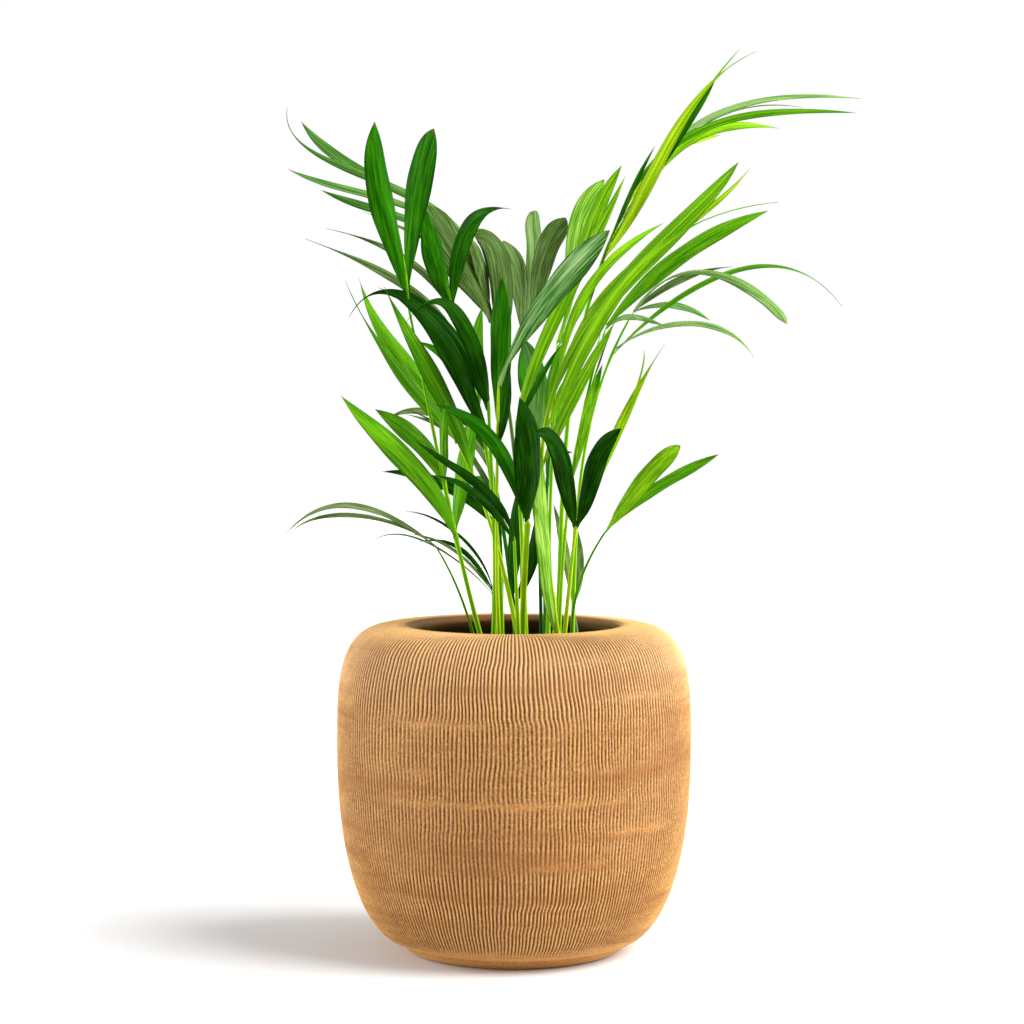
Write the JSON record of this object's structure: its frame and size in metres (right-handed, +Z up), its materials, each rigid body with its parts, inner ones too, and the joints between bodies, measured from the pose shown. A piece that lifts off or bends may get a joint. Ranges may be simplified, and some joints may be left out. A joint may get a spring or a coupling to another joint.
{
  "type": "potted areca palm",
  "caption": "Young areca palm: a clump of slender stalks with arching feathered fronds, in a round combed clay pot with a narrow foot.",
  "frame": {"origin": "middle of the pot's flat underside", "axes": "+Z up through the pot's axis, -Y towards the viewing side of the picture, +X to the right there"},
  "size_m": [0.3492, 0.2956, 0.5186],
  "materials": {
    "clay": "matte",
    "soil": "matte",
    "stem": "satin",
    "leaf_bright": "satin",
    "leaf_green": "satin",
    "leaf_deep": "satin",
    "leaf_grey": "matte"
  },
  "bodies": {
    "root": {"pot": "clay", "soil": "soil", "stem_left": "stem", "stem_left_back": "stem", "stem_left_centre": "stem", "stem_front": "stem", "stem_centre": "stem", "stem_back": "stem", "stem_back_right": "stem", "stem_right_front": "stem", "stem_right": "stem", "stem_right_back": "stem", "stem_far_right": "stem", "frond_tall_left": "leaf_green", "frond_low_left": "leaf_deep", "frond_low_back_left": "leaf_deep", "frond_low_front_left": "leaf_deep", "frond_back_left": "leaf_deep", "frond_mid_left": "leaf_bright", "frond_dark_left": "leaf_deep", "frond_centre_broad": "leaf_deep", "frond_upper_left": "leaf_green", "frond_tall_back_left": "leaf_grey", "frond_back_centre": "leaf_grey", "frond_back_right": "leaf_bright", "frond_centre_bright": "leaf_bright", "frond_tall_right": "leaf_bright", "frond_mid_right": "leaf_bright", "frond_right": "leaf_green", "frond_low_right": "leaf_green", "frond_front_right": "leaf_deep", "frond_front_centre": "leaf_deep", "frond_back_low": "leaf_deep", "frond_near_right": "leaf_bright", "frond_low_back_right": "leaf_grey", "frond_far_back_left": "leaf_green", "frond_far_back_right": "leaf_green"}
  },
  "joints": []
}
